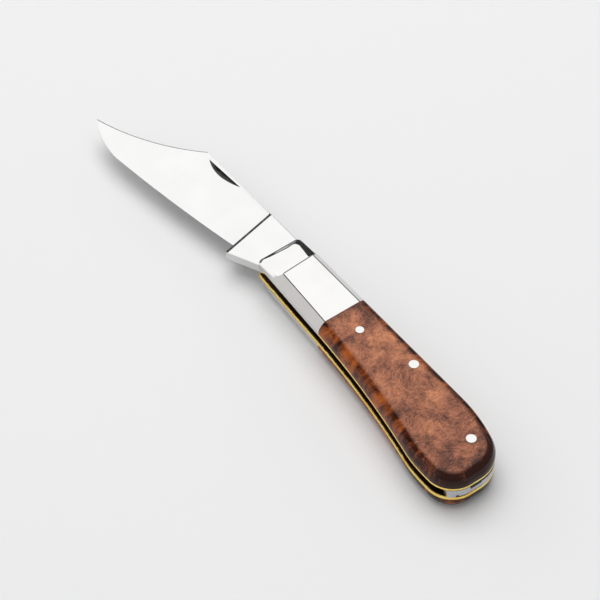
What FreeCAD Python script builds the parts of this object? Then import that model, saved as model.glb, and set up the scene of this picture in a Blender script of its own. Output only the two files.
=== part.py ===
import FreeCAD, Part
import math
import os

# One-blade slip-joint pocket knife, open, lying on its pile side. Millimetres.
# It is built about the pivot: +X runs to the butt, +Y to the back, +Z up through the mark side.
# At the end every piece is moved so that the origin is at the middle of the base of the whole knife.

# Handle, seen flat
handle_length = 82.5
front_width = 12.75
butt_depth = 20.2
pivot_from_front = 6.35
pivot_from_back = 7.6
bolster_length = 26.85
nose_length = 8.25
front_back_round = 1.2
front_belly_round = 1.5

# Butt and belly: the back rolls down in a long shoulder and a crown, the belly rises in a flare
shoulder_radius = 44.0
shoulder_turn = 17.0
crown_radius = 8.8
low_corner_radius = 6.9
flare_from_butt = 9.3
flare_radius = 36.0
flare_turn = 9.5

# Layers of the handle, from the middle outwards
well_width = 2.5
liner_thickness = 0.8
cover_thickness = 3.4
nose_rise = 0.7

# Rounded-over edge of scales and bolsters: shares of its inset and of the cover's height
edge_inset = 2.0
edge_steps = ((0.0, 0.0), (0.0, 0.25), (0.08, 0.45), (0.32, 0.78), (1.0, 1.0))

# Blade, measured from the pivot along the knife and from the back across it
tang_thickness = 2.4
spine_thickness = 2.0
point_thickness = 1.4
edge_thickness = 0.24
blade_reach = 71.4
point_depth = 15.5
clip_from_pivot = 44.6
clip_hollow = 1.9
belly_from_pivot = 57.5
belly_depth = 19.2
point_bow = 1.0
edge_bow = 0.5
heel_depth = 12.7
plunge_from_pivot = 17.6
kick_from_pivot = 13.95
kick_depth = 16.05
plunge_round = 0.8
blank_overlap = 1.5

# Tang: three flats that the spring presses on, open, half open and closed
tang_seat = 3.6
tang_corner_round = 1.0
tang_neck_from_pivot = 6.2
tang_neck_depth = 12.3
tang_neck_round = 2.0
shoulder_from_pivot = 2.2
closed_angle = 167.0

# Nail nick: a shallow wheel cut in the mark side of the blade, deepest towards the point
nick_length = 12.5
nick_width = 1.95
nick_depth = 0.45
nick_skew = 8.0
nick_from_pivot = 37.25
nick_from_spine = 1.2

# Backspring, one piece from the nose on the tang to the tail that closes the butt
nose_seat_length = 9.0
spring_ramp = 3.0
flex_length = 20.0
spring_pin_wall = 1.25
spring_round = 2.0
tail_end_height = 1.9

# Pins and rivets
pivot_radius = 1.6
cover_pin_radius = 1.2
short_pin_radius = 1.02
rivet_radius = 0.8
spring_pin_from_joint = 22.8
spring_pin_from_back = 3.83
butt_pin_from_butt = 8.05
butt_pin_from_back = 6.92
short_pin_from_joint = 7.03
short_pin_from_back = 7.5
front_rivet_from_joint = 11.5
rear_rivet_from_joint = 4.5
rivet_from_back = 7.0

# Clearances and allowances
pivot_clearance = 0.03
seat_gap = 0.02
kick_gap = 0.12
tip_gap = 1.3
ground_setback = 0.05
cutter_margin = 3.0

# Places that follow from the sizes above
front_x = -pivot_from_front
rear_x = handle_length - pivot_from_front
joint_x = bolster_length - pivot_from_front
crease_x = nose_length - pivot_from_front
back_y = pivot_from_back
low_y = back_y - butt_depth
pile_liner_z = cover_thickness
well_low_z = pile_liner_z + liner_thickness
middle_z = well_low_z + well_width / 2
well_top_z = well_low_z + well_width
mark_cover_z = well_top_z + liner_thickness
total_height = mark_cover_z + cover_thickness
cutter_width = butt_depth + 2 * cutter_margin


def point(x, y, z=0.0):
    return FreeCAD.Vector(x, y, z)


def line(a, b):
    return Part.LineSegment(a, b).toShape()


def bowed_line(a, b, bow):
    """Arc from a to b that stands off its chord by bow, to the right of the way it runs."""
    along = (b - a).normalize()
    middle = (a + b) * 0.5 + point(along.y, -along.x) * bow
    return Part.Arc(a, middle, b).toShape()


def on_circle(center, radius, degrees):
    turn = math.radians(degrees)
    return center + point(radius * math.cos(turn), radius * math.sin(turn))


def turn_arc(center, radius, start, end):
    """Arc about center between two headings in degrees."""
    spots = [on_circle(center, radius, heading) for heading in (start, (start + end) / 2, end)]
    return Part.Arc(*spots).toShape()


def rounded_loop(corners):
    """Closed run of straight edges and corner arcs, from (place, radius) for each corner in turn."""
    arcs = []
    for index, (corner, radius) in enumerate(corners):
        before = (corners[index - 1][0] - corner).normalize()
        after = (corners[(index + 1) % len(corners)][0] - corner).normalize()
        half = before.getAngle(after) / 2
        reach = radius / math.tan(half)
        inward = (before + after).normalize()
        middle = corner + inward * (radius / math.sin(half) - radius)
        arcs.append((corner + before * reach, middle, corner + after * reach))
    edges = []
    for index, (corner, radius) in enumerate(corners):
        edges.append(line(arcs[index - 1][2], arcs[index][0]))
        if radius > 0:
            edges.append(Part.Arc(*arcs[index]).toShape())
    return edges


def plate(edges, low, high):
    """Flat plate between two heights, from a closed run of edges at height 0."""
    face = Part.Face(Part.Wire(edges))
    face.translate(point(0, 0, low))
    return face.extrude(point(0, 0, high - low))


def rod(radius, x, y, low, high):
    return Part.makeCylinder(radius, high - low, point(x, y, low))


def pile_side(shape):
    """The like piece on the other side of the handle."""
    return shape.mirror(point(0, 0, middle_z), point(0, 0, 1))


# Handle outline: centres of its rounds
shoulder_lean = math.radians(shoulder_turn)
crown_reach = shoulder_radius - crown_radius
crown_y = back_y - shoulder_radius + crown_reach * math.cos(shoulder_lean)
crown_center = point(rear_x - crown_radius, crown_y)
shoulder_x = crown_center.x - crown_reach * math.sin(shoulder_lean)
shoulder_center = point(shoulder_x, back_y - shoulder_radius)
low_center = point(rear_x - low_corner_radius, low_y + low_corner_radius)
flare_center = point(rear_x - flare_from_butt, low_y + flare_radius)
flare_end = on_circle(flare_center, flare_radius, -90 - flare_turn)
flare_out = (flare_end - flare_center).normalize()
belly_chord = point(front_x, back_y - front_width) - flare_end
belly_radius = belly_chord.Length ** 2 / (2 * belly_chord.dot(flare_out))
belly_center = flare_end + flare_out * belly_radius


def belly_y(x, inset=0.0):
    """Height of the belly line at x, moved in from the outline by inset."""
    return belly_center.y + math.sqrt((belly_radius + inset) ** 2 - (x - belly_center.x) ** 2)


def handle_outline(inset, start_x):
    """Closed outline, moved in by inset: from start_x along the back, round the butt, along the belly."""
    back = back_y - inset
    rear = rear_x - inset
    low = low_y + inset
    belly_start = on_circle(flare_center, flare_radius - inset, -90 - flare_turn)
    belly_middle_x = (belly_start.x + start_x) / 2
    belly_middle = point(belly_middle_x, belly_y(belly_middle_x, inset))
    belly_end = point(start_x, belly_y(start_x, inset))
    return [
        line(point(start_x, back), point(shoulder_center.x, back)),
        turn_arc(shoulder_center, shoulder_radius - inset, 90, 90 - shoulder_turn),
        turn_arc(crown_center, crown_radius - inset, 90 - shoulder_turn, 0),
        line(point(rear, crown_center.y), point(rear, low_center.y)),
        turn_arc(low_center, low_corner_radius - inset, 0, -90),
        line(point(low_center.x, low), point(flare_center.x, low)),
        turn_arc(flare_center, flare_radius - inset, -90, -90 - flare_turn),
        Part.Arc(belly_start, belly_middle, belly_end).toShape(),
        line(belly_end, point(start_x, back)),
    ]


def handle_block(low, high):
    """The whole outline as a block, with its two front corners rounded."""
    block = plate(handle_outline(0.0, front_x), low, high)
    for y, radius in ((back_y, front_back_round), (back_y - front_width, front_belly_round)):
        corner = point(front_x, y, (low + high) / 2)
        upright = [edge for edge in block.Edges if edge.CenterOfMass.isEqual(corner, seat_gap)]
        block = block.makeFillet(radius, upright)
    return block


def cover_profile(x, rise):
    """Cross section of the mark side's cover at x, with its flat at rise above the liner."""
    belly_side = []
    back_side = []
    for side, up in edge_steps:
        belly_side.append(point(x, belly_y(x) + side * edge_inset, mark_cover_z + up * rise))
        back_side.append(point(x, back_y - side * edge_inset, mark_cover_z + up * rise))
    around = belly_side + back_side[::-1]
    return Part.makePolygon(around + around[:1])


def mark_cover():
    """Scale and bolster of the mark side, ground as one: a nose before the crease, a body behind it."""
    sections = []
    for side, up in edge_steps:
        wire = Part.Wire(handle_outline(side * edge_inset, crease_x))
        wire.translate(point(0, 0, mark_cover_z + up * cover_thickness))
        sections.append(wire)
    body = Part.makeLoft(sections, True, True)
    nose_ends = [cover_profile(front_x, nose_rise), cover_profile(crease_x, cover_thickness)]
    nose = Part.makeLoft(nose_ends, True, True).common(handle_block(mark_cover_z, total_height))
    return body.fuse(nose).removeSplitter()


def slice_along(shape, low_x, high_x):
    """The stretch of a piece between two places along the handle."""
    corner = point(low_x, low_y - cutter_margin, -cutter_margin)
    block = Part.makeBox(high_x - low_x, cutter_width, total_height + 2 * cutter_margin, corner)
    return shape.common(block)


# Places of the pins and rivets
spring_pin = (cover_pin_radius, joint_x + spring_pin_from_joint, back_y - spring_pin_from_back)
butt_pin = (cover_pin_radius, rear_x - butt_pin_from_butt, back_y - butt_pin_from_back)
short_pin = (short_pin_radius, joint_x + short_pin_from_joint, back_y - short_pin_from_back)
pivot = (pivot_radius, 0.0, 0.0)
rivets = [(rivet_radius, joint_x - back, back_y - rivet_from_back)
          for back in (front_rivet_from_joint, rear_rivet_from_joint)]


def drilled(shape, holes):
    """A piece with its holes, each hole as (radius, x, y)."""
    return shape.cut([rod(*hole, -cutter_margin, total_height + cutter_margin) for hole in holes])


def half_pin(pin, cover, setback):
    """Pin from the well's upper wall to the face of the cover, ground to the cover's own slope."""
    shank = rod(*pin, well_top_z, mark_cover_z)
    end = rod(*pin, mark_cover_z - setback, total_height)
    lowered = cover.translated(point(0, 0, -setback))
    return shank.fuse(end.common(lowered)).removeSplitter()


def whole_pin(pin, cover, setback):
    """Pin from face to face of the handle."""
    end = half_pin(pin, cover, setback)
    return rod(*pin, well_low_z, well_top_z).fuse([end, pile_side(end)]).removeSplitter()


# Places on the blade
tip = point(-blade_reach, back_y - point_depth)
clip_corner = point(-clip_from_pivot, back_y)
edge_belly = point(-belly_from_pivot, back_y - belly_depth)
plunge_top = point(-plunge_from_pivot, back_y)
kick = point(-kick_from_pivot, back_y - kick_depth)
plunge_lean = (kick.x - plunge_top.x) / kick_depth
edge_heel = point(plunge_top.x + plunge_lean * heel_depth, back_y - heel_depth)
edge_slope = (edge_heel.y - edge_belly.y) / (edge_heel.x - edge_belly.x)
spine_slope = (spine_thickness - point_thickness) / (blade_reach - plunge_from_pivot)


def turned(place, degrees):
    """A place on the flat of the knife, turned about the pivot."""
    return on_circle(point(0, 0), place.Length, math.degrees(math.atan2(place.y, place.x)) + degrees)


def edge_y(x):
    """The straight line that the cutting edge follows, at x."""
    return edge_heel.y + edge_slope * (x - edge_heel.x)


def half_thickness(x, y):
    """Half the thickness of the ground blade: it falls from spine to edge and from plunge to point."""
    spine = (spine_thickness + spine_slope * (x - plunge_top.x)) / 2
    share = (y - edge_y(x)) / (back_y - edge_y(x))
    return edge_thickness / 2 + share * (spine - edge_thickness / 2)


def tang():
    """Full-thickness end of the blade, with its kick and the spring's three flats."""
    closed_out = on_circle(point(0, 0), 1.0, 90 - closed_angle)

    def closed_flat(x):
        return point(x, (tang_seat - closed_out.x * x) / closed_out.y)

    outline = rounded_loop([
        (plunge_top, 0),
        (point(-shoulder_from_pivot, back_y), 0),
        (point(-shoulder_from_pivot, tang_seat), 0),
        (point(tang_seat, tang_seat), tang_corner_round),
        (closed_flat(tang_seat), tang_corner_round),
        (closed_flat(-shoulder_from_pivot), 0),
        (point(-tang_neck_from_pivot, back_y - tang_neck_depth), tang_neck_round),
        (kick, 0),
    ])
    return plate(outline, middle_z - tang_thickness / 2, middle_z + tang_thickness / 2)


def grind_section(x):
    """Cross section at x of what is ground off the mark side, from below the edge to above the spine."""
    ends = (edge_y(x) - cutter_margin, back_y + cutter_margin)
    lower = [point(x, y, middle_z + half_thickness(x, y)) for y in ends]
    upper = [point(x, y, middle_z + tang_thickness) for y in ends[::-1]]
    return Part.makePolygon(lower + upper + lower[:1])


def grind_cut():
    """What is ground off the mark side: the wheel's face makes the flat, its rounded edge the plunge."""
    beyond_tip = tip.x - cutter_margin
    high_y = back_y + cutter_margin
    under_y = kick.y - cutter_margin
    ahead = rounded_loop([
        (point(plunge_top.x - plunge_lean * cutter_margin, high_y), 0),
        (point(beyond_tip, high_y), 0),
        (point(beyond_tip, under_y - butt_depth), 0),
        (point(kick.x + plunge_lean * cutter_margin, under_y), 0),
    ])
    sections = [grind_section(x) for x in (beyond_tip, kick.x + cutter_margin)]
    cut = Part.makeLoft(sections, True, True)
    cut = cut.common(plate(ahead, middle_z - tang_thickness, middle_z + 2 * tang_thickness))
    foot = (plunge_top + edge_heel) * 0.5
    foot.z = middle_z + half_thickness(foot.x, foot.y)
    plunge = min(cut.Edges, key=lambda edge: edge.distToShape(Part.Vertex(foot))[0])
    return cut.makeFillet(plunge_round, [plunge])


def nick_cut():
    """What the wheel takes out for the nail nick: a wall along the spine, and a slope from its skew rim."""
    nick_x = -nick_from_pivot
    wall_y = back_y - nick_from_spine
    foot = point(nick_x, wall_y, middle_z + half_thickness(nick_x, wall_y) - nick_depth)
    slope_end = foot + on_circle(point(0, 0), nick_width, -90 - nick_skew)
    slope_end.z = middle_z + half_thickness(slope_end.x, slope_end.y)
    axis = (slope_end - foot).normalize()
    upright = axis.cross(point(0, 0, 1).cross(axis).normalize())
    lean = math.sin(math.radians(nick_skew)) * nick_depth / nick_width
    span = math.cos(math.radians(nick_skew)) ** 2
    bow = 4 * nick_depth * span
    reach = nick_length * span
    wheel_radius = reach ** 2 / (bow + math.sqrt(bow ** 2 + 4 * (lean * reach) ** 2))
    center = foot - axis * nick_width + upright * wheel_radius
    wheel = Part.makeCylinder(wheel_radius, 3 * nick_width, center, axis)
    corner = point(nick_x - nick_length, wall_y - 2 * nick_width, middle_z)
    return wheel.common(Part.makeBox(2 * nick_length, 2 * nick_width, tang_thickness, corner))


def blade():
    """One flat blank, bored, ground on both sides and nicked on the mark side."""
    inside_x = plunge_top.x + blank_overlap
    inside_heel = edge_heel + point(blank_overlap, blank_overlap)
    outline = [
        line(point(inside_x, back_y), clip_corner),
        bowed_line(clip_corner, tip, -clip_hollow),
        bowed_line(tip, edge_belly, point_bow),
        bowed_line(edge_belly, edge_heel, edge_bow),
        line(edge_heel, inside_heel),
        line(inside_heel, point(inside_x, back_y)),
    ]
    front = plate(outline, middle_z - tang_thickness / 2, middle_z + tang_thickness / 2)
    blank = tang().fuse(front).removeSplitter()
    bore = (pivot_radius + pivot_clearance, 0.0, 0.0)
    grind = grind_cut()
    return drilled(blank, [bore]).cut([grind, pile_side(grind), nick_cut()])


def backspring():
    """Leaf spring: nose on the tang, thin run that flexes, pin bosses, tail that closes the butt."""
    nose_x = -shoulder_from_pivot + seat_gap
    seat_y = tang_seat + seat_gap
    seat_end = nose_x + nose_seat_length
    flex_start = seat_end + spring_ramp
    flex_y = turned(kick, closed_angle).y + kick_gap
    boss = cover_pin_radius + spring_pin_wall
    boss_y = spring_pin[2] - boss
    butt_boss_y = butt_pin[2] - boss
    tail_x = max(turned(tip, closed_angle).x + tip_gap, butt_pin[1] + boss)
    tail_end_y = low_y + tail_end_height
    beyond_x = rear_x + cutter_margin
    beyond_y = back_y + cutter_margin
    outline = rounded_loop([
        (point(nose_x, beyond_y), 0),
        (point(nose_x, seat_y), 0),
        (point(seat_end, seat_y), spring_round),
        (point(flex_start, flex_y), spring_round),
        (point(flex_start + flex_length, flex_y), spring_round),
        (point(spring_pin[1] - boss, boss_y), spring_round),
        (point(spring_pin[1] + boss, boss_y), spring_round),
        (point(butt_pin[1], butt_boss_y), spring_round),
        (point(tail_x, butt_boss_y), spring_round),
        (point(tail_x, tail_end_y), 0),
        (point(beyond_x, tail_end_y), 0),
        (point(beyond_x, beyond_y), 0),
    ])
    leaf = plate(outline, well_low_z, well_top_z).common(handle_block(well_low_z, well_top_z))
    return drilled(leaf, [spring_pin, butt_pin])


def knife():
    """Every piece of the knife by name, about the pivot."""
    cover = mark_cover()
    scale_holes = [spring_pin, butt_pin, short_pin]
    bolster_holes = [pivot] + rivets
    scale = drilled(slice_along(cover, joint_x, rear_x + cutter_margin), scale_holes)
    bolster = drilled(slice_along(cover, front_x - cutter_margin, joint_x), bolster_holes)
    liner = drilled(handle_block(well_top_z, mark_cover_z), scale_holes + bolster_holes)
    scale_pin = half_pin(short_pin, cover, 0.0)
    bolster_rivets = Part.makeCompound([half_pin(rivet, cover, ground_setback) for rivet in rivets])
    return {
        "blade": blade(),
        "backspring": backspring(),
        "mark_liner": liner,
        "pile_liner": pile_side(liner),
        "mark_bolster": bolster,
        "pile_bolster": pile_side(bolster),
        "mark_scale": scale,
        "pile_scale": pile_side(scale),
        "pivot_pin": whole_pin(pivot, cover, ground_setback),
        "spring_pin": whole_pin(spring_pin, cover, 0.0),
        "butt_pin": whole_pin(butt_pin, cover, 0.0),
        "mark_scale_pin": scale_pin,
        "pile_scale_pin": pile_side(scale_pin),
        "mark_bolster_rivets": bolster_rivets,
        "pile_bolster_rivets": pile_side(bolster_rivets),
    }


lowest_y = min(low_y, edge_belly.y)
home = point(-(tip.x + rear_x) / 2, -(lowest_y + back_y) / 2)
os.makedirs("parts", exist_ok=True)
for name, shape in knife().items():
    shape.translate(home)
    shape.exportStep("parts/" + name + ".step")
    print(name, len(shape.Solids), shape.isValid(), round(shape.Volume, 2))
print("pivot at", round(home.x, 4), round(home.y, 4), "total height", total_height)
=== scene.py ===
import math

import bmesh
import bpy
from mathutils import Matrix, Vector


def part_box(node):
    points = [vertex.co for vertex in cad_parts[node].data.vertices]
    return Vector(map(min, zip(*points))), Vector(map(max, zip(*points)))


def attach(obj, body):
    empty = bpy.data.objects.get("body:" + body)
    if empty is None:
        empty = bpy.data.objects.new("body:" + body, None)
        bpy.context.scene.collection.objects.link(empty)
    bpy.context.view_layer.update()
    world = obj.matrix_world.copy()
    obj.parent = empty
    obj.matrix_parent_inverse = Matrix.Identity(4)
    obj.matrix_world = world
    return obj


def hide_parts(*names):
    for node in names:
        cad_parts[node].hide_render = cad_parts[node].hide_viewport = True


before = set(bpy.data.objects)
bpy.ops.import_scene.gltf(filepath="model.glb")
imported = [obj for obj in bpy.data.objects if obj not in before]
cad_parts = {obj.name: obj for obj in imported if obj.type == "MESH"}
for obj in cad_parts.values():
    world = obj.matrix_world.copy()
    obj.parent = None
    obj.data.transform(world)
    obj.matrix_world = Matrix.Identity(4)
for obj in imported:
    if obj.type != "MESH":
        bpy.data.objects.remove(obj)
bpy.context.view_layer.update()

# Brass liners
# Two plates of brass sheet, filed to the handle's outline, that wall the blade well on both sides.
# Bolsters and scales are riveted and pinned on them, so only their filed edges show.
mm = 0.001
same_line, same_point = 0.01 * mm, 0.001 * mm
liner_low, liner_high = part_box("mark_liner")
front_x, back_y = liner_low.x, liner_high.y
rear_x, low_y = liner_high.x, liner_low.y
joint_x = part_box("mark_bolster")[1].x
front_width = 12.75 * mm
crown_radius = 8.8 * mm
low_corner_radius = 6.9 * mm
shoulder_radius = 44.0 * mm
flare_from_butt, flare_radius = 9.3 * mm, 36.0 * mm
front_back_round, front_belly_round = 1.2 * mm, 1.5 * mm
well_arris, outer_arris = 0.28 * mm, 0.08 * mm
# The turns of the outline are in degrees.
belly_lean, shoulder_turn, quarter_turn = 3.4, 17.0, 90.0
shoulder_steps, crown_steps, low_corner_steps = 8, 24, 28
flare_steps, hollow_steps = 8, 16
brass_bright = (1.0, 0.85, 0.26, 1.0)
brass_tarnish = (1.0, 0.58, 0.10, 1.0)
# Near-black brass for the liners' inner faces is painted shade of the blade well.
brass_painted_shade = (0.09, 0.040, 0.020, 1.0)
brass_painted_shade_deep = (0.05, 0.020, 0.010, 1.0)

shoulder_lean = math.radians(shoulder_turn)
crown_reach = shoulder_radius - crown_radius
crown_center = Vector((rear_x - crown_radius,
                       back_y - shoulder_radius + crown_reach * math.cos(shoulder_lean), 0))
shoulder_center = Vector((crown_center.x - crown_reach * math.sin(shoulder_lean),
                          back_y - shoulder_radius, 0))
low_center = Vector((rear_x - low_corner_radius, low_y + low_corner_radius, 0))
flare_center = Vector((rear_x - flare_from_butt, low_y + flare_radius, 0))
belly_slope = math.tan(math.radians(belly_lean))
belly_bend = Vector((joint_x, back_y - front_width - belly_slope * (joint_x - front_x), 0))
belly_out = Vector((-belly_slope, -1, 0)).normalized()
from_flare = belly_bend - flare_center
past_flare = from_flare.length_squared - flare_radius ** 2
hollow_radius = past_flare / (2 * (flare_radius - from_flare.dot(belly_out)))
hollow_center = belly_bend + belly_out * hollow_radius
flare_turn = math.degrees(math.atan2(flare_center.x - hollow_center.x, flare_center.y - hollow_center.y))


def only(kind, parts):
    """The parts of one kind out of what an operator gives back."""
    return [part for part in parts if isinstance(part, kind)]


def run_to(bm, vert, x, y):
    """One straight run of an outline, on to a place."""
    end = bm.verts.new((x, y, vert.co.z))
    bm.edges.new((vert, end))
    return end


def sweep(bm, vert, center, degrees, steps):
    """One round of an outline, about a centre; clockwise is negative."""
    spun = bmesh.ops.spin(bm, geom=[vert], cent=center, axis=(0, 0, 1),
                          angle=math.radians(degrees), steps=steps)
    return only(bmesh.types.BMVert, spun["geom_last"])[0]


def butt_run(bm, vert):
    """The outline from the straight back over the shoulder and the crown to the low corner."""
    vert = run_to(bm, vert, shoulder_center.x, back_y)
    vert = sweep(bm, vert, shoulder_center, -shoulder_turn, shoulder_steps)
    vert = sweep(bm, vert, crown_center, shoulder_turn - quarter_turn, crown_steps)
    return run_to(bm, vert, rear_x, low_center.y)


def belly_y(x):
    """The belly's straight run along the bolster, at x."""
    return belly_bend.y + belly_slope * (joint_x - x)


def close_outline(bm, last, first):
    """Closes an outline and fills it with one flat face that looks up."""
    bm.edges.new((last, first))
    face = bmesh.ops.contextual_create(bm, geom=bm.edges[:])["faces"][0]
    if face.normal.z < 0:
        face.normal_flip()
    return face


def handle_face(bm, z):
    """The handle's outline as one flat face; the belly is straight to the bolster's end, then hollow."""
    first = bm.verts.new((front_x, back_y, z))
    vert = butt_run(bm, first)
    vert = sweep(bm, vert, low_center, -quarter_turn, low_corner_steps)
    vert = run_to(bm, vert, flare_center.x, low_y)
    vert = sweep(bm, vert, flare_center, -flare_turn, flare_steps)
    vert = sweep(bm, vert, hollow_center, flare_turn - belly_lean, hollow_steps)
    vert = run_to(bm, vert, front_x, belly_y(front_x))
    return close_outline(bm, vert, first)


def raise_face(bm, face, height):
    """Extrudes one flat face upwards and gives the face at the top."""
    raised = bmesh.ops.extrude_face_region(bm, geom=[face], use_keep_orig=True)["geom"]
    bmesh.ops.translate(bm, vec=(0, 0, height), verts=only(bmesh.types.BMVert, raised))
    return only(bmesh.types.BMFace, raised)[0]


def level_edges(bm, z):
    """The edges that lie at one height."""
    return [edge for edge in bm.edges if all(abs(vert.co.z - z) < same_line for vert in edge.verts)]


def slice_across(bm, place, facing, **options):
    """Cuts the whole mesh along a plane and gives what lies on the cut."""
    every = bm.verts[:] + bm.edges[:] + bm.faces[:]
    return bmesh.ops.bisect_plane(bm, geom=every, plane_co=place, plane_no=facing, **options)["geom_cut"]


def make_piece(name, bm, material, sharp=20.0):
    """A finished piece from its bmesh, smooth but for edges sharper than the angle given."""
    bmesh.ops.recalc_face_normals(bm, faces=bm.faces[:])
    for face in bm.faces:
        face.smooth = True
    for edge in bm.edges:
        edge.smooth = edge.is_manifold and edge.calc_face_angle() < math.radians(sharp)
    mesh = bpy.data.meshes.new(name)
    bm.to_mesh(mesh)
    bm.free()
    mesh.materials.append(material)
    piece = bpy.data.objects.new(name, mesh)
    bpy.context.scene.collection.objects.link(piece)
    weighted = piece.modifiers.new("flats_stay_flat", "WEIGHTED_NORMAL")
    weighted.keep_sharp = True
    weighted.weight = 90
    return piece


def new_finish(name):
    """An empty node material: the material, its node tree and its shader."""
    material = bpy.data.materials.new(name)
    material.use_nodes = True
    return material, material.node_tree, material.node_tree.nodes["Principled BSDF"]


def add_node(tree, kind, sockets, **options):
    """One node with its options set, and its sockets set or linked."""
    node = tree.nodes.new(kind)
    for option, value in options.items():
        setattr(node, option, value)
    for socket, value in sockets.items():
        if isinstance(value, bpy.types.NodeSocket):
            tree.links.new(value, node.inputs[socket])
        else:
            node.inputs[socket].default_value = value
    return node


def place_on_piece(tree):
    """The place of a point in the piece's own coordinates."""
    return add_node(tree, "ShaderNodeTexCoord", {}).outputs["Object"]


def noise(tree, place, scale, detail, **sockets):
    """The outputs of a noise node at a place, with its scale in patches per metre."""
    sockets = {"Vector": place, "Scale": scale, "Detail": detail, **sockets}
    return add_node(tree, "ShaderNodeTexNoise", sockets).outputs


def hairlines(tree, place, stretch, detail):
    """Fine lines along one way of the piece: noise on a stretched place, in lines per metre."""
    drawn = add_node(tree, "ShaderNodeMapping", {"Vector": place, "Scale": stretch}).outputs[0]
    return noise(tree, drawn, 1.0, detail)[0]


def blotches(tree, place, scale):
    """Soft uneven patches, in patches per metre."""
    return noise(tree, place, scale, 4.0)[0]


def spread(tree, factor, low, high, start=0.3, end=0.7):
    """A factor's run from start to end, as a value from low to high."""
    sockets = {"Value": factor, "From Min": start, "From Max": end, "To Min": low, "To Max": high}
    return add_node(tree, "ShaderNodeMapRange", sockets).outputs[0]


def two_colours(tree, factor, first, second):
    """A colour between two, by a factor."""
    return add_node(tree, "ShaderNodeMix", {0: factor, 6: first, 7: second}, data_type="RGBA").outputs[2]


def bump(tree, height, depth, strength):
    """A fine relief, as a normal for the shader."""
    sockets = {"Height": height, "Distance": depth, "Strength": strength}
    return add_node(tree, "ShaderNodeBump", sockets).outputs[0]


def metal_finish(name, lines, patches, colours, roughness, relief):
    """A metal with fine lines in its gloss and relief; patches, or else the lines, mix its two colours."""
    material, tree, shader = new_finish(name)
    place = place_on_piece(tree)
    marks = hairlines(tree, place, *lines)
    mixed = spread(tree, blotches(tree, place, patches) if patches else marks, 0.0, 1.0)
    tree.links.new(two_colours(tree, mixed, *colours), shader.inputs["Base Color"])
    tree.links.new(spread(tree, marks, *roughness), shader.inputs["Roughness"])
    tree.links.new(bump(tree, marks, *relief), shader.inputs["Normal"])
    shader.inputs["Metallic"].default_value = 1.0
    return material


filed_brass = metal_finish(
    "filed_brass", lines=((900, 2500, 9000), 4.0), patches=240,
    colours=(brass_bright, brass_tarnish), roughness=(0.16, 0.34), relief=(0.01 * mm, 0.25),
)

# The inner faces have a rougher, unpolished finish; their near-black colour is painted shade where the well
# lies in shadow.
painted_shade_brass, tree, shader = new_finish("painted_shade_brass_inside")
place = place_on_piece(tree)
painted_shade_patches = spread(tree, blotches(tree, place, 300), 0.0, 1.0)
tree.links.new(two_colours(tree, painted_shade_patches, brass_painted_shade, brass_painted_shade_deep), shader.inputs["Base Color"])
tree.links.new(spread(tree, blotches(tree, place, 900), 0.45, 0.65), shader.inputs["Roughness"])
shader.inputs["Metallic"].default_value = 1.0

for side in ("mark", "pile"):
    low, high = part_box(side + "_liner")
    bm = bmesh.new()
    handle_face(bm, low.z)
    corners = [vert for vert in bm.verts if vert.co.x < front_x + same_line]
    for corner in corners:
        radius = front_back_round if corner.co.y > 0 else front_belly_round
        bmesh.ops.bevel(bm, geom=[corner], offset=radius, segments=6, profile=0.5,
                        affect="VERTICES", material=-1)
    raise_face(bm, bm.faces[:][0], high.z - low.z)
    inside_z, outside_z = (low.z, high.z) if side == "mark" else (high.z, low.z)
    for rim_z, arris in ((inside_z, well_arris), (outside_z, outer_arris)):
        bmesh.ops.bevel(bm, geom=level_edges(bm, rim_z), offset=arris, segments=2, profile=0.5,
                        affect="EDGES", material=-1)
    slice_across(bm, (joint_x, 0, 0), (1, 0, 0), dist=same_point)
    # Faces on the inner side take the brass with painted shade.
    for face in bm.faces:
        face.material_index = int(abs(face.calc_center_median().z - inside_z) < same_line)
    liner = make_piece(side + "_brass_liner", bm, filed_brass)
    liner.data.materials.append(painted_shade_brass)
    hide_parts(side + "_liner")
    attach(liner, "handle")

# Backspring
# One leaf of hardened steel along the back of the well: its nose presses on the tang, two pins hold it,
# and its tail comes round the butt and stops short of the belly. Its outside is ground flush and glazed.
spring_low, spring_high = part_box("backspring")
seat_over_pivot, flex_over_seat = 2.02 * mm, 1.59 * mm
seat_length, flex_start, flex_end = 9.0 * mm, 12.0 * mm, 32.0 * mm
tang_seat_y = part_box("pivot_pin")[1].y + seat_over_pivot
flex_y = tang_seat_y + flex_over_seat
nose_x = spring_low.x
pin_boss = 2.45 * mm
spring_pin_place = (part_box("spring_pin")[0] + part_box("spring_pin")[1]) / 2
butt_pin_place = (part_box("butt_pin")[0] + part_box("butt_pin")[1]) / 2
spring_boss_y, butt_boss_y = spring_pin_place.y - pin_boss, butt_pin_place.y - pin_boss
tail_x = 70.28 * mm
tail_round = 2.0 * mm
tail_turn = math.degrees(math.asin((low_center.y - spring_low.y) / low_corner_radius))
tail_steps = 16
tail_gap, tail_notch = 0.50 * mm, 0.95 * mm
# The gap lines show along part of the tail only, from a low to a high place: on the pile side from a turn,
# in radians, round the low corner.
pile_gap_turn = 0.52
pile_gap_way = Vector((math.cos(pile_gap_turn), -math.sin(pile_gap_turn), 0))
pile_gap_low = low_center + low_corner_radius * pile_gap_way
pile_gap = (pile_gap_low.y, -0.2 * mm)
mark_gap = (-3.25 * mm, 5.2 * mm)
spring_grey = (0.50, 0.505, 0.54, 1.0)
spring_worn = (0.60, 0.605, 0.635, 1.0)
# Near black for the gaps between the tail and the liners is painted shade.
painted_gap_shade = (0.012, 0.011, 0.010, 1.0)

glazed_steel = metal_finish(
    "glazed_spring_steel", lines=((2500, 2500, 14000), 5.0), patches=420,
    colours=(spring_grey, spring_worn), roughness=(0.16, 0.36), relief=(0.01 * mm, 0.3),
)

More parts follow.
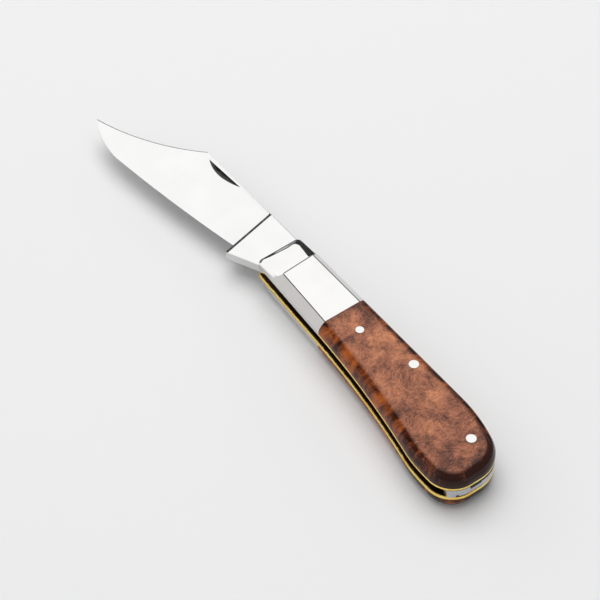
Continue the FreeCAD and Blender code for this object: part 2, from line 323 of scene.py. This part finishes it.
# The gap faces are painted with shade: near black, with a few lighter flecks of the spring's grey.
painted_shade_gap_finish, tree, shader = new_finish("painted_shade_in_gap")
painted_shade_flecks = spread(tree, blotches(tree, place_on_piece(tree), 900), 0.0, 0.12)
tree.links.new(two_colours(tree, painted_shade_flecks, painted_gap_shade, spring_grey), shader.inputs["Base Color"])
shader.inputs["Roughness"].default_value = 0.7

bm = bmesh.new()
first = bm.verts.new((nose_x, back_y, spring_low.z))
vert = sweep(bm, butt_run(bm, first), low_center, -tail_turn, tail_steps)
inner = (
    (tail_x, spring_low.y),
    (tail_x, butt_boss_y),
    (butt_pin_place.x, butt_boss_y),
    (spring_pin_place.x + pin_boss, spring_boss_y),
    (spring_pin_place.x - pin_boss, spring_boss_y),
    (nose_x + flex_end, flex_y),
    (nose_x + flex_start, flex_y),
    (nose_x + seat_length, tang_seat_y),
    (nose_x, tang_seat_y),
)
inner_verts = []
for x, y in inner:
    vert = run_to(bm, vert, x, y)
    inner_verts.append(vert)
close_outline(bm, vert, first)
bmesh.ops.bevel(bm, geom=inner_verts[1:-1], offset=tail_round, segments=5, profile=0.5,
                affect="VERTICES", material=-1, clamp_overlap=True)
raise_face(bm, bm.faces[:][0], spring_high.z - spring_low.z)
for rim_z, (gap_low, gap_high) in ((spring_low.z, pile_gap), (spring_high.z, mark_gap)):
    rim = [edge for edge in level_edges(bm, rim_z)
           if all(vert.co.x > tail_x and gap_low < vert.co.y < gap_high for vert in edge.verts)]
    eased = bmesh.ops.bevel(bm, geom=rim, offset=tail_gap, segments=1, profile=0.5,
                            affect="EDGES", material=-1)
    # The eased gap faces and notches take the painted shade.
    for face in eased["faces"]:
        face.material_index = 1
    outer = [vert for vert in eased["verts"] if abs(vert.co.z - rim_z) > same_line]
    outer.sort(key=lambda vert: vert.co.y)
    for vert in outer[:2]:
        vert.co.z = rim_z + math.copysign(tail_notch, vert.co.z - rim_z)
spring = make_piece("leaf_backspring", bm, glazed_steel)
spring.data.materials.append(painted_shade_gap_finish)
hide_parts("backspring")
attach(spring, "handle")

# Blade
# A clip-point blade with its tang and kick, ground from one steel blank and mirror polished. The tang turns
# on the pivot pin between the liners. The nail nick in the mark side, and the shoulder of the plunge, keep
# the rougher finish the wheel left, with painted shade and painted dark reflection in their near-black
# colour.
middle_z = (liner_low.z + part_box("pile_liner")[1].z) / 2
tip_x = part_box("blade")[0].x
plunge_x, plunge_lean = -19.975 * mm, 0.2274
tang_end, plunge_front, plunge_foot, ground_start = -0.13 * mm, 0.62 * mm, 0.72 * mm, 1.40 * mm
plunge_drop = 0.2 * mm
tang_half, spine_half, edge_half = 1.20 * mm, 1.00 * mm, 0.12 * mm
spine_taper = 0.00558
heel_x, heel_y, edge_slope = -17.087 * mm, -2.6 * mm, 0.1519
heel_reach = 0.005 * mm
clip_x = -46.975 * mm
nick_from_x, nick_to_x, nick_low_y, nick_wall_y = -45.5 * mm, -31.5 * mm, 6.0 * mm, 8.9 * mm
nick_least_depth, nick_narrowing, nick_turn = 0.02 * mm, 0.76, 0.042
clip_flat, clip_slope = 0.26 * mm, 0.44
back_flat, back_slope = 0.10 * mm, 1.0
tang_flat, tang_slope = 0.12 * mm, 0.50
# A face's facing tells a rim from a side, the back from the rest, and the shoulder's sides from its ends.
rim_facing, side_facing, back_facing, shoulder_facing = 0.2, 0.8, 0.5, 0.5
one_plane = math.radians(0.3)
steel_bright = (0.66, 0.66, 0.655, 1.0)
steel_dull = (0.63, 0.63, 0.625, 1.0)
# Near-black colours for the nick and the plunge's shoulder are painted shade and painted dark reflection.
cut_painted_shade = (0.035, 0.034, 0.034, 1.0)
cut_painted_shade_streak = (0.17, 0.168, 0.165, 1.0)

mirror_steel = metal_finish(
    "mirror_polished_steel", lines=((16000, 500, 500), 3.0), patches=130,
    colours=(steel_bright, steel_dull), roughness=(0.04, 0.10), relief=(0.002 * mm, 0.1),
)
cut_steel_painted_shade = metal_finish(
    "wheel_cut_steel_painted_shade", lines=((260, 1500, 1500), 3.0), patches=None,
    colours=(cut_painted_shade, cut_painted_shade_streak), roughness=(0.35, 0.5), relief=(0.01 * mm, 0.3),
)


def ground_half(x, y):
    """Half the thickness of the ground blade at a place."""
    spine = spine_half + spine_taper * (x - plunge_x)
    edge_y = heel_y + edge_slope * (x - heel_x)
    return edge_half + (spine - edge_half) * (y - edge_y) / (back_y - edge_y)


def depth_at(place):
    """How deep a place lies under the ground face of the mark side."""
    return ground_half(place.x, place.y) - (place.z - middle_z)


def turned_wall_y(x):
    """The nick's straight wall at x, after its small turn."""
    return nick_wall_y + nick_turn * (x - nick_from_x)


def in_nick(place, wall_y):
    """Whether a place lies within the nick's bounds on the mark side, up to its wall."""
    along = nick_from_x < place.x < nick_to_x
    return along and nick_low_y < place.y < wall_y + same_line and place.z > middle_z


def ahead_of_plunge(place):
    """How far a place lies ahead of the plunge line, along the blade."""
    return plunge_x + plunge_lean * (back_y - place.y) - place.x


def open_rim(bm, ahead):
    """The open edges of the mesh that lie at a distance ahead of the plunge line."""
    return [edge for edge in bm.edges if edge.is_boundary
            and all(abs(ahead_of_plunge(vert.co) - ahead) < same_line for vert in edge.verts)]


def rim_verts(rim):
    """The vertices of a rim, each once."""
    return list(dict.fromkeys(vert for edge in rim for vert in edge.verts))


def carry_on(bm, rim, to, half_at):
    """Extrudes an open rim along the blade, to a distance ahead of the plunge line and a new thickness."""
    raised = bmesh.ops.extrude_edge_only(bm, edges=rim)["geom"]
    for vert in only(bmesh.types.BMVert, raised):
        vert.co.x += ahead_of_plunge(vert.co) - to
        vert.co.z = middle_z + math.copysign(half_at(vert.co.x, vert.co.y), vert.co.z - middle_z)
    return only(bmesh.types.BMFace, raised)


def flat_along(bm, from_x, to_x, width, slope):
    """One narrow flat along a stretch of the blade's back, on both sides."""
    bm.normal_update()
    edges = []
    for edge in bm.edges:
        middle = (edge.verts[0].co + edge.verts[1].co) / 2
        rim, side = sorted((face.normal for face in edge.link_faces), key=lambda facing: abs(facing.z))
        is_arris = abs(rim.z) < rim_facing and abs(side.z) > side_facing
        if is_arris and rim.y > back_facing and from_x < middle.x < to_x:
            edges.append(edge)
    eased = bmesh.ops.bevel(bm, geom=edges, offset=width, segments=1, profile=0.5,
                            affect="EDGES", material=-1)
    lower = set()
    for face in eased["faces"]:
        half = abs(face.calc_center_median().z - middle_z)
        lower.update(vert for vert in face.verts if abs(vert.co.z - middle_z) < half)
    for vert in lower:
        vert.co.z += math.copysign(width * (1 - slope), vert.co.z - middle_z)


bm = bmesh.new()
bm.from_mesh(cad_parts["blade"].data)
bmesh.ops.remove_doubles(bm, verts=bm.verts[:], dist=same_point)
for ahead in (tang_end, ground_start):
    slice_across(bm, (plunge_x - ahead, back_y, 0), (1, plunge_lean, 0), dist=same_point)
between_cuts = [face for face in bm.faces
                if tang_end < ahead_of_plunge(face.calc_center_median()) < ground_start]
bmesh.ops.delete(bm, geom=between_cuts, context="FACES")
for vert in bm.verts:
    if in_nick(vert.co, nick_wall_y):
        depth = depth_at(vert.co)
        vert.co.y = turned_wall_y(vert.co.x) + (vert.co.y - nick_wall_y) * nick_narrowing
        vert.co.z = middle_z + ground_half(vert.co.x, vert.co.y) - depth
# Faces deep in the nick take the wheel-cut steel with painted shade.
for face in bm.faces:
    middle = face.calc_center_median()
    is_cut = in_nick(middle, turned_wall_y(middle.x)) and depth_at(middle) > nick_least_depth
    face.material_index = int(is_cut)

shoulder_faces = carry_on(bm, open_rim(bm, tang_end), plunge_front, lambda x, y: tang_half - plunge_drop)
carry_on(bm, open_rim(bm, ground_start), plunge_foot, ground_half)
bm.normal_update()
# Shoulder faces that look up or down take the wheel-cut steel with painted shade.
for face in shoulder_faces:
    face.material_index = int(abs(face.normal.z) > shoulder_facing)
foot_rim = open_rim(bm, plunge_foot)
edge_y = min(vert.co.y for vert in rim_verts(foot_rim))
front_rim = open_rim(bm, plunge_front)
front_verts = rim_verts(front_rim)
bmesh.ops.bisect_plane(bm, geom=front_verts + front_rim, plane_co=(0, edge_y, 0), plane_no=(0, 1, 0),
                       dist=same_point)
front_rim = open_rim(bm, plunge_front)
heel_verts = [vert for vert in rim_verts(front_rim) if abs(vert.co.y - edge_y) < heel_reach]
heel_edge = bm.edges.new(heel_verts)
kick_rim = [edge for edge in front_rim if (edge.verts[0].co.y + edge.verts[1].co.y) / 2 < edge_y]
plunge_rim = [edge for edge in front_rim if edge not in kick_rim]
bmesh.ops.bridge_loops(bm, edges=foot_rim + plunge_rim + [heel_edge])
bmesh.ops.edgeloop_fill(bm, edges=kick_rim + [heel_edge])
bmesh.ops.dissolve_limit(bm, angle_limit=one_plane, verts=bm.verts[:], edges=bm.edges[:],
                         delimit={"MATERIAL"})

flat_along(bm, tip_x, clip_x, clip_flat, clip_slope)
flat_along(bm, clip_x, plunge_x, back_flat, back_slope)
flat_along(bm, plunge_x, front_x, tang_flat, tang_slope)
blade = make_piece("clip_point_blade", bm, mirror_steel, sharp=14.0)
blade.data.materials.append(cut_steel_painted_shade)
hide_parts("blade")
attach(blade, "blade")

# Bolsters
# Long nickel-silver bolsters, riveted on the liners, then ground together with the scales: a flat face, a
# rounded-over edge along back and belly, and a nose that slopes to the tang. The pivot is spun in and
# ground away.
cover_low, cover_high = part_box("mark_bolster")
cover_rise = cover_high.z - cover_low.z
nose_rise = 0.55 * mm
crease_front, crease_skew, crease_half = 0.2075 * mm, 0.075, 0.22 * mm
flat_belly_y, crease_sweep = -1.0 * mm, 0.69
nose_slope = (cover_rise - nose_rise) / (crease_front - front_x)
# Each ground edge has five steps, from the wall up to the face: the inset from the outline and the fall
# below the flat, or below the plane of the nose, in mm. The corners have one round for each step.
flat_back = ((0, 2.55), (0.16, 1.87), (0.90, 0.40), (1.97, 0.05), (2.23, 0))
flat_belly = ((0, 2.55), (0.16, 1.87), (0.80, 0.884), (1.80, 0.088), (2.0, 0))
nose_back = ((0, 2.60), (0.16, 1.90), (1.0, 0.74), (3.15, 0.03), (3.30, 0))
nose_back_corner = ((0, 0.61), (0.12, 0.46), (0.30, 0.40), (1.75, 0.04), (1.95, 0))
nose_front_high = ((0, 0.25), (0.06, 0.18), (0.50, 0.12), (0.70, 0.09), (1.25, 0))
nose_front_upper = ((0, 0.25), (0.06, 0.165), (0.61, 0.08), (0.89, 0.085), (1.44, 0))
nose_front_lower = ((0, 0.22), (0.05, 0.130), (0.40, 0.075), (0.60, 0.078), (1.02, 0))
nose_front_low = ((0, 0.20), (0.05, 0.095), (0.30, 0.055), (0.42, 0.036), (0.66, 0))
nose_belly_corner = ((0, 0.55), (0.10, 0.36), (0.28, 0.24), (0.46, 0.10), (0.64, 0))
nose_belly = ((0, 2.0), (0.16, 1.214), (0.80, 0.67), (1.72, 0.115), (2.0, 0))
back_corner_rounds = (1.2, 1.1, 1.2, 1.6, 1.6)
belly_corner_rounds = (1.5, 1.5, 1.4, 1.3, 1.2)
corner_steps, corner_ease = 18, 0.8
upper_from_back, lower_from_back = 4.2 * mm, 9.3 * mm
nickel_bright = (0.67, 0.667, 0.655, 1.0)
nickel_dull = (0.64, 0.632, 0.615, 1.0)

polished_nickel = metal_finish(
    "polished_nickel_silver", lines=((900, 12000, 12000), 3.0), patches=160,
    colours=(nickel_bright, nickel_dull), roughness=(0.05, 0.12), relief=(0.002 * mm, 0.1),
)


def crease_x(y):
    """Where the nose meets the flat: almost square across it, then swept forward down the belly's bevel."""
    return crease_front - crease_skew * max(y, flat_belly_y) + crease_sweep * min(y - flat_belly_y, 0)


def nose_top(x, y):
    """The sloping plane of the nose, as a rise above the liner."""
    return cover_rise - nose_slope * (crease_front - crease_skew * y - x)


def crease_end(ground, step, behind, on_back):
    """One step of the ground edge at the crease, just behind it or just ahead of it."""
    inset, fall = ground[step][0] * mm, ground[step][1] * mm
    y = back_y - inset if on_back else belly_y(crease_front) + inset
    x = crease_x(y) + (crease_half if behind else -crease_half)
    return x, y, (cover_rise if behind else nose_top(x, y)) - fall


def nose_corner(step, on_back):
    """One step of the ground edge round a front corner, from the back or belly to the front."""
    side, front = (nose_back_corner, nose_front_high) if on_back else (nose_belly_corner, nose_front_low)
    radius = (back_corner_rounds if on_back else belly_corner_rounds)[step] * mm
    x = front_x + front[step][0] * mm + radius
    way = 1 if on_back else -1
    y = (back_y if on_back else belly_y(x)) - way * (side[step][0] * mm + radius)
    places = []
    for index in range(corner_steps + 1):
        share = index / corner_steps
        lean = share * math.pi / 2
        place = x - radius * math.sin(lean), y + way * radius * math.cos(lean)
        fall = (front[step][1] + (side[step][1] - front[step][1]) * (1 - share) ** corner_ease) * mm
        places.append((*place, nose_top(*place) - fall))
    return places


def bolster_line(step):
    """One closed line round the bolster, from the joint along the back, the nose and the belly."""
    back_fall, belly_fall = flat_back[step][1] * mm, flat_belly[step][1] * mm
    line = [(joint_x, back_y - flat_back[step][0] * mm, cover_rise - back_fall)]
    line += [crease_end(flat_back, step, True, True), crease_end(nose_back, step, False, True)]
    line += nose_corner(step, True)
    for ground, from_back in ((nose_front_upper, upper_from_back), (nose_front_lower, lower_from_back)):
        front = front_x + ground[step][0] * mm, back_y - from_back
        line.append((*front, nose_top(*front) - ground[step][1] * mm))
    line += nose_corner(step, False)[::-1]
    line += [crease_end(nose_belly, step, False, False), crease_end(flat_belly, step, True, False)]
    line += [(joint_x, belly_bend.y + flat_belly[step][0] * mm, cover_rise - belly_fall)]
    return [Vector((x, y, cover_low.z + rise)) for x, y, rise in line]


def neighbours(line):
    """Each vertex of a closed line with the next one."""
    return zip(line, line[1:] + line[:1])


def raise_line(bm, line, places):
    """Extrudes a closed line of vertices on to its next places."""
    edges = [bm.edges.get(pair) for pair in neighbours(line)]
    raised = bmesh.ops.extrude_edge_only(bm, edges=edges)["geom"]
    fresh = set(only(bmesh.types.BMVert, raised))
    moved = []
    for vert, place in zip(line, places):
        beside = [edge.other_vert(vert) for edge in vert.link_edges]
        above = next(other for other in beside if other in fresh)
        above.co = place
        moved.append(above)
    return moved


def turn_over(bm):
    """Mirrors a mark-side piece to the pile side."""
    bmesh.ops.scale(bm, vec=(1, 1, -1), verts=bm.verts[:])
    bmesh.ops.translate(bm, vec=(0, 0, 2 * middle_z), verts=bm.verts[:])


for side in ("mark", "pile"):
    bm = bmesh.new()
    foot = [bm.verts.new((place.x, place.y, cover_low.z)) for place in bolster_line(0)]
    foot_edges = [bm.edges.new(pair) for pair in neighbours(foot)]
    top = foot
    for step in range(len(flat_back)):
        top = raise_line(bm, top, bolster_line(step))
    bmesh.ops.edgeloop_fill(bm, edges=foot_edges)
    bmesh.ops.edgeloop_fill(bm, edges=[bm.edges.get(pair) for pair in neighbours(top)])
    for crease in ((top[1], top[-2]), (top[2], top[-3])):
        bmesh.ops.connect_verts(bm, verts=crease)
    if side == "pile":
        turn_over(bm)
    bolster = make_piece(side + "_nickel_bolster", bm, polished_nickel, sharp=6.0)
    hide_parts(side + "_bolster")
    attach(bolster, "handle")

# Along the bolster the mark liner's filed edge shows no brass: it has the bolster's own metal and polish.
liner_mesh = bpy.data.meshes["mark_brass_liner"]
liner_mesh.materials.append(polished_nickel)
for face in liner_mesh.polygons:
    if face.center.x < joint_x and face.material_index == 0:
        face.material_index = 2

# Scales
# Burl wood, sawn in slabs, pinned through the liners and ground to one line with the bolsters, then oiled
# and buffed to a deep gloss. The figure is a dense mass of swirls, eyes and short curls.
wall_rise = 0.85 * mm
# The steps of the ground edge, from the wall in to the flat: inset and rise in mm, and the share of face
# grain, for the edge shows end grain and the flat doesn't.
edge_steps = (
    (0.16, 0.68, 0.0), (0.36, 0.842, 0.0), (0.16, 0.248, 0.0), (0.22, 0.175, 0.0),
    (0.64, 0.388, 0.0), (0.44, 0.172, 0.35), (0.32, 0.045, 0.7), (0.50, 0.0, 1.0),
)
joint_gap, flat_facing = 0.12 * mm, 0.985
burl_dark = (0.045, 0.010, 0.004, 1.0)
burl_brown = (0.150, 0.043, 0.018, 1.0)
burl_red = (0.250, 0.082, 0.040, 1.0)
burl_orange = (0.415, 0.146, 0.068, 1.0)
burl_bright = (0.620, 0.240, 0.105, 1.0)
end_dark = (0.026, 0.006, 0.003, 1.0)
end_brown = (0.100, 0.025, 0.010, 1.0)
end_red = (0.220, 0.053, 0.015, 1.0)
end_orange = (0.400, 0.100, 0.020, 1.0)
face_stops = (
    (0.22, burl_dark), (0.34, burl_brown), (0.445, burl_red), (0.565, burl_orange), (0.74, burl_bright),
)
end_stops = ((0.28, end_dark), (0.40, end_brown), (0.56, end_red), (0.76, end_orange))
# Scales of the figure are per metre. A shade is what a part of the figure, or the painted shade towards the
# butt, adds or takes along the colours.
swirl_scale, swirl_reach = 120.0, 8.0 * mm
patch_scale, eye_scale, curl_scale, blotch_scale = 210.0, 420.0, 900.0, 75.0
fibre_stretch, flame_stretch = (3400, 900, 1800), (430, 60, 60)
patch_low, patch_high, eye_low, eye_high = 0.33, 0.67, -0.07, 0.02
blotch_shade, curl_shade, fibre_shade = 0.05, 0.09, 0.10
face_flame, end_flame = 0.02, 0.25
# The wood is darker towards the butt, more on the end grain than on the face: painted shade for the domed
# butt turning away from the light.
face_butt_painted_shade, end_butt_painted_shade = 0.14, 0.28
face_front_shade, end_front_shade = 0.10, 0.0
face_back_shade, end_back_shade = 0.0, 0.10
face_gloss, end_gloss = 0.30, 0.22
front_dark_to = 31.0 * mm
face_butt_painted_shade_from, end_butt_painted_shade_from, butt_painted_shade_to = 58.0 * mm, 46.0 * mm, 73.0 * mm
back_dark_from, back_dark_to = 3.0 * mm, 9.0 * mm


def ramp(tree, factor, stops):
    """A run of colours over a factor."""
    node = add_node(tree, "ShaderNodeValToRGB", {"Fac": factor})
    colours = node.color_ramp.elements
    while len(colours) < len(stops):
        colours.new(0.5)
    for colour, (place, value) in zip(colours, stops):
        colour.position = place
        colour.color = value
    return node.outputs[0]


def math_node(tree, operation, first, second):
    """One step of arithmetic on two values."""
    return add_node(tree, "ShaderNodeMath", {0: first, 1: second}, operation=operation).outputs[0]


def vector_node(tree, operation, sockets):
    """One step of arithmetic on places."""
    return add_node(tree, "ShaderNodeVectorMath", sockets, operation=operation).outputs[0]


def add_up(tree, value, changes):
    """A value with every change added to it in turn."""
    for change in changes:
        value = math_node(tree, "ADD", value, change)
    return value


def burl_finish(name, gloss):
    """Oiled burl: swirls, eyes, curls and fibres, and flames, the bands that end grain shows; painted shade
    darkens it towards the butt.
    """
    material, tree, shader = new_finish(name)
    place = place_on_piece(tree)
    drift = noise(tree, place, swirl_scale, 3.0)["Color"]
    centred = vector_node(tree, "SUBTRACT", {0: drift, 1: (0.5, 0.5, 0.5)})
    pushed = vector_node(tree, "SCALE", {0: centred, "Scale": swirl_reach})
    swirled = vector_node(tree, "ADD", {0: place, 1: pushed})
    figure = noise(tree, swirled, patch_scale, 7.0, Roughness=0.55)[0]
    cells = add_node(tree, "ShaderNodeTexVoronoi", {"Vector": swirled, "Scale": eye_scale})
    eyes = cells.outputs["Distance"]
    curls = noise(tree, swirled, curl_scale, 6.0, Distortion=2.4)[0]
    fibres = hairlines(tree, swirled, fibre_stretch, 3.0)
    flame = hairlines(tree, swirled, flame_stretch, 3.0)
    shade = add_up(tree, spread(tree, figure, patch_low, patch_high), (
        spread(tree, eyes, eye_low, eye_high, 0.0, 0.5),
        spread(tree, blotches(tree, place, blotch_scale), -blotch_shade, blotch_shade),
        spread(tree, curls, -curl_shade, curl_shade),
        spread(tree, fibres, -fibre_shade, fibre_shade),
    ))
    spot = add_node(tree, "ShaderNodeSeparateXYZ", {0: place}).outputs
    grains = []
    for stops, flames, butt_painted_shade, butt_painted_shade_from, front_shade, back_shade in (
        (end_stops, end_flame, end_butt_painted_shade, end_butt_painted_shade_from, end_front_shade, end_back_shade),
        (face_stops, face_flame, face_butt_painted_shade, face_butt_painted_shade_from, face_front_shade, face_back_shade),
    ):
        grain = add_up(tree, shade, (
            spread(tree, flame, -flames, flames),
            # Painted shade, darker towards the butt.
            spread(tree, spot[0], 0.0, -butt_painted_shade, butt_painted_shade_from, butt_painted_shade_to),
            spread(tree, spot[0], -front_shade, 0.0, joint_x, front_dark_to),
            spread(tree, spot[1], 0.0, -back_shade, back_dark_from, back_dark_to),
        ))
        grains.append(ramp(tree, grain, stops))
    face_share = add_node(tree, "ShaderNodeAttribute", {}, attribute_name="face_share").outputs["Fac"]
    tree.links.new(two_colours(tree, face_share, *grains), shader.inputs["Base Color"])
    tree.links.new(spread(tree, curls, 0.06, 0.14), shader.inputs["Roughness"])
    tree.links.new(bump(tree, curls, 0.01 * mm, 0.12), shader.inputs["Normal"])
    shader.inputs["IOR"].default_value = 1.5
    shader.inputs["Specular IOR Level"].default_value = gloss
    return material


burl_face = burl_finish("oiled_burl_face", face_gloss)
burl_edge = burl_finish("oiled_burl_end_grain", end_gloss)

for side in ("mark", "pile"):
    bm = bmesh.new()
    top = raise_face(bm, handle_face(bm, cover_low.z), wall_rise)
    face_share = bm.verts.layers.float.new("face_share")
    for inset, rise, share in edge_steps:
        bmesh.ops.inset_region(bm, faces=[top], thickness=inset * mm, depth=rise * mm,
                               use_boundary=True, use_even_offset=True)
        for vert in top.verts:
            vert[face_share] = share
    cut = slice_across(bm, (joint_x + joint_gap, 0, 0), (-1, 0, 0), clear_outer=True)
    bmesh.ops.edgeloop_fill(bm, edges=only(bmesh.types.BMEdge, cut))
    if side == "pile":
        turn_over(bm)
    for face in bm.faces:
        face.material_index = int(abs(face.normal.z) < flat_facing)
    scale = make_piece(side + "_burl_scale", bm, burl_face, sharp=24.0)
    scale.data.materials.append(burl_edge)
    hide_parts(side + "_scale")
    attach(scale, "handle")

# Pins
# Nickel-silver pins, cut from drawn wire, driven through and lightly headed: two go right through scales,
# liners and spring, and a short one on each side holds the scale's front on its liner.
pin_proud, pin_crown = 0.18 * mm, 0.04 * mm
pin_edge, pin_spread, pin_seat = 0.03 * mm, 0.04 * mm, 0.02 * mm
crown_middle, edge_ease, pin_steps = 0.5, 0.3, 40


def headed_pin(name, node, heads, setback=0.0):
    """A pin spun from half its outline, with a low crowned head where heads says so: low end, high end."""
    low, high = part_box(node)
    low.z, high.z = low.z + setback, high.z - setback
    radius = (high.x - low.x) / 2
    wide = radius + pin_spread
    head = (
        (0.0, pin_proud + pin_crown),
        (wide * crown_middle, pin_proud + pin_crown * (1 - crown_middle ** 2)),
        (wide - pin_edge, pin_proud),
        (wide - pin_edge * edge_ease, pin_proud - pin_edge * edge_ease),
        (wide, pin_proud - pin_edge),
        (wide, -pin_seat),
        (radius, -pin_seat),
    )
    flush = ((0.0, 0.0), (radius, 0.0))
    half = []
    for z, way, headed in ((low.z, -1, heads[0]), (high.z, 1, heads[1])):
        end = [(r, z + way * rise) for r, rise in (head if headed else flush)]
        half.extend(end if way < 0 else end[::-1])
    bm = bmesh.new()
    center = Vector(((low.x + high.x) / 2, (low.y + high.y) / 2, 0))
    verts = [bm.verts.new(center + Vector((r, 0, z))) for r, z in half]
    edges = [bm.edges.new(pair) for pair in zip(verts, verts[1:])]
    bmesh.ops.spin(bm, geom=verts + edges, cent=center, axis=(0, 0, 1), angle=math.tau,
                   steps=pin_steps, use_merge=True)
    bmesh.ops.remove_doubles(bm, verts=bm.verts[:], dist=same_point)
    pin = make_piece(name, bm, polished_nickel, sharp=12.0)
    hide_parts(node)
    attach(pin, "handle")


headed_pin("headed_spring_pin", "spring_pin", (True, True))
headed_pin("headed_butt_pin", "butt_pin", (True, True))
headed_pin("headed_mark_scale_pin", "mark_scale_pin", (False, True))
headed_pin("headed_pile_scale_pin", "pile_scale_pin", (True, False))

# Pivot and bolster rivets
# The blade's axle and the rivets under the bolsters, peened, ground off and buffed until they no longer
# show. The axle ends a little under the sloping nose; the rivets are the model's own solids, in the
# bolsters' metal.
pivot_setback = 1.3 * mm
headed_pin("spun_pivot_pin", "pivot_pin", (False, False), pivot_setback)
for node in ("mark_bolster_rivets", "pile_bolster_rivets"):
    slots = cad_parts[node].data.materials
    slots.clear()
    slots.append(polished_nickel)

# Floor, light and camera
# A pale seamless table top, just under the pin heads, one large soft lamp overhead, towards the blade's end,
# and a long lens. The polished metal mirrors white softboxes with dark gaps, a pale wall and a grey room.
floor_reach, floor_drop = 8.0, 0.23 * mm
floor_colour = (0.86, 0.86, 0.865, 1.0)
bm = bmesh.new()
bmesh.ops.create_grid(bm, x_segments=1, y_segments=1, size=floor_reach)
bmesh.ops.translate(bm, vec=(0, 0, -floor_drop), verts=bm.verts[:])
pale_top, tree, shader = new_finish("pale_table_top")
shader.inputs["Base Color"].default_value = floor_colour
shader.inputs["Roughness"].default_value = 0.9
shader.inputs["Specular IOR Level"].default_value = 0.0
floor_mesh = bpy.data.meshes.new("table_top")
bm.to_mesh(floor_mesh)
bm.free()
floor_mesh.materials.append(pale_top)
floor = bpy.data.objects.new("table_top", floor_mesh)
bpy.context.scene.collection.objects.link(floor)

room_grey = (0.42, 0.42, 0.42, 1.0)
wall_pale = (0.86, 0.84, 0.83, 1.0)
side_pale = (0.95, 0.95, 0.95, 1.0)
box_white = (1.45, 1.45, 1.45, 1.0)
gap_black = (0.04, 0.04, 0.04, 1.0)
box_turn = math.radians(143)
world = bpy.data.worlds.new("studio")
bpy.context.scene.world = world
world.use_nodes = True
tree = world.node_tree
sky = tree.nodes["Background"]
toward = add_node(tree, "ShaderNodeTexCoord", {}).outputs["Generated"]
spot = add_node(tree, "ShaderNodeSeparateXYZ", {0: toward}).outputs
along = math_node(tree, "ADD", math_node(tree, "MULTIPLY", spot[0], math.cos(box_turn)),
                  math_node(tree, "MULTIPLY", spot[1], math.sin(box_turn)))
across = math_node(tree, "SUBTRACT", math_node(tree, "MULTIPLY", spot[1], math.cos(box_turn)),
                   math_node(tree, "MULTIPLY", spot[0], math.sin(box_turn)))
azimuth = math_node(tree, "ARCTAN2", across, along)
height = math_node(tree, "ARCSINE", spot[2], 0.0)


def between(tree, value, low, high, blur):
    """One inside a range of degrees and nought outside, with soft ends."""
    ends = []
    for end, reach in ((low, blur), (high, -blur)):
        sockets = {"Value": value, "From Min": math.radians(end - reach),
                   "From Max": math.radians(end + reach), "To Min": 0.0, "To Max": 1.0}
        soft = add_node(tree, "ShaderNodeMapRange", sockets, interpolation_type="SMOOTHSTEP")
        ends.append(soft.outputs[0])
    return math_node(tree, "MULTIPLY", *ends)


# Each patch of the surroundings has its turn and its lift in degrees: from, to, and the blur of its ends.
room = room_grey
for colour, turn, lift in (
    (wall_pale, (79, 125, 3), (-90, 60, 3)),
    (gap_black, (-45, 79, 2), (-90, 64, 2)),
    (box_white, (-33, 49, 2), (41, 95, 1.5)),
    (box_white, (-10, 31, 2), (12.5, 22.5, 1)),
    (side_pale, (-45, -10, 2), (13, 27, 1)),
    (box_white, (29, 74, 2), (8, 37, 1.5)),
):
    there = math_node(tree, "MULTIPLY", between(tree, azimuth, *turn), between(tree, height, *lift))
    room = two_colours(tree, there, room, colour)
tree.links.new(room, sky.inputs["Color"])

lamp_data = bpy.data.lights.new("overhead_lamp", "AREA")
lamp_data.shape = "DISK"
lamp_data.size = 1.3
lamp_data.energy = 6.0
lamp = bpy.data.objects.new("overhead_lamp", lamp_data)
lamp.location = (-0.30, 0.14, 0.98)
lamp.rotation_euler = (-lamp.location).to_track_quat("-Z", "Y").to_euler()
lamp.visible_glossy = False
lamp.visible_camera = False
bpy.context.scene.collection.objects.link(lamp)

camera_data = bpy.data.cameras.new("long_lens")
camera_data.sensor_width = 36.0
camera_data.lens = 156.0
camera_data.clip_start = 0.02
camera = bpy.data.objects.new("long_lens", camera_data)
camera_pitch = math.radians(49.5)
heading_x, heading_y = -0.8002, 0.5997
camera_distance = 616.3 * mm
aim = Vector((9.305 * mm, -3.06 * mm, 10.9 * mm))
level_share = math.cos(camera_pitch)
ahead = Vector((heading_x * level_share, heading_y * level_share, -math.sin(camera_pitch)))
camera.location = aim - ahead * camera_distance
camera.rotation_euler = ahead.to_track_quat("-Z", "Y").to_euler()
bpy.context.scene.collection.objects.link(camera)
bpy.context.scene.camera = camera
bpy.context.scene.view_settings.view_transform = "Standard"
